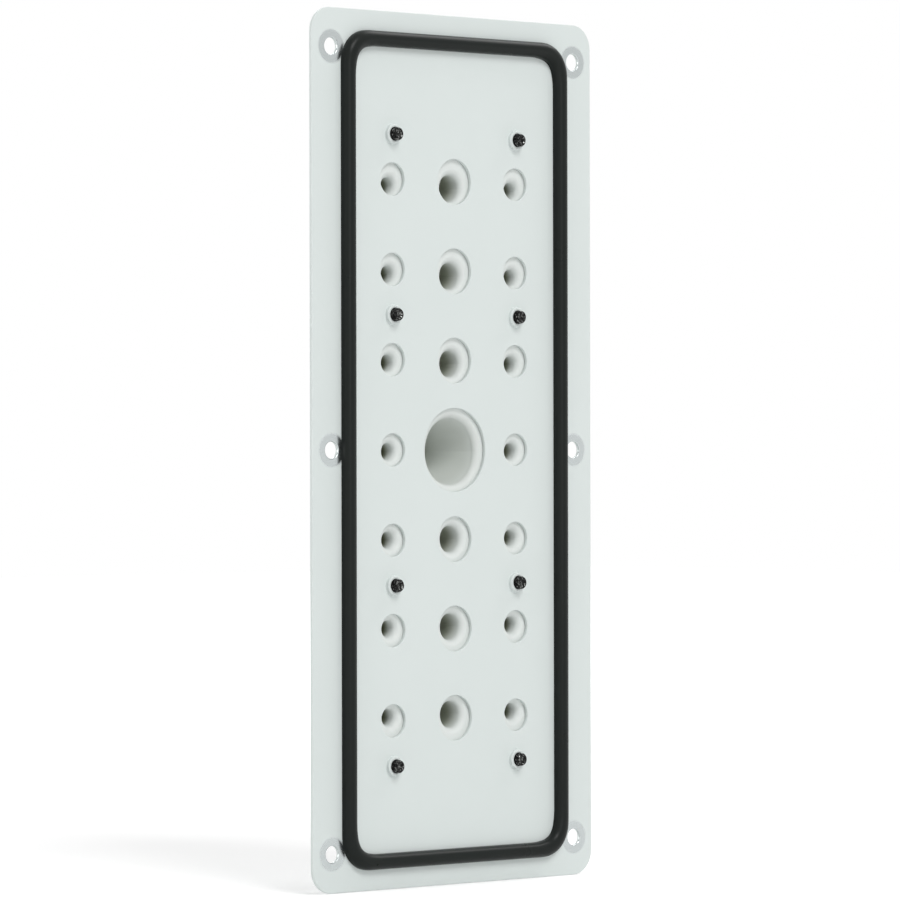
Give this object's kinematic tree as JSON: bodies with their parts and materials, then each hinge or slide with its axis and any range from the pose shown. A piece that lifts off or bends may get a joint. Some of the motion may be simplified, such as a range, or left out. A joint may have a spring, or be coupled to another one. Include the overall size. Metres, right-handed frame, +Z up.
{
  "type": "cable entry plate",
  "caption": "Upright painted flange plate with a sealing gasket and a soft insert of tapered cable nozzles clamped behind it.",
  "frame": {"origin": "centre of the fixing holes, on the plate's gasket face", "axes": "+Z up along the plate's length, -Y out of the gasket face towards the cabinet, +Y back along the nozzles"},
  "size_m": [0.15, 0.0371, 0.34],
  "materials": {
    "paint": "light grey satin powder coat, bare round the fixing holes",
    "gasket_rubber": "smooth black rubber with a low gloss",
    "soft_insert": "matt light grey soft moulding",
    "black_steel": "black oxide"
  },
  "bodies": {
    "root": {"base_plate": "paint", "gasket": "gasket_rubber", "membrane_insert": "soft_insert", "clamp_plate": "paint", "clamp_screws": "black_steel"}
  },
  "joints": []
}
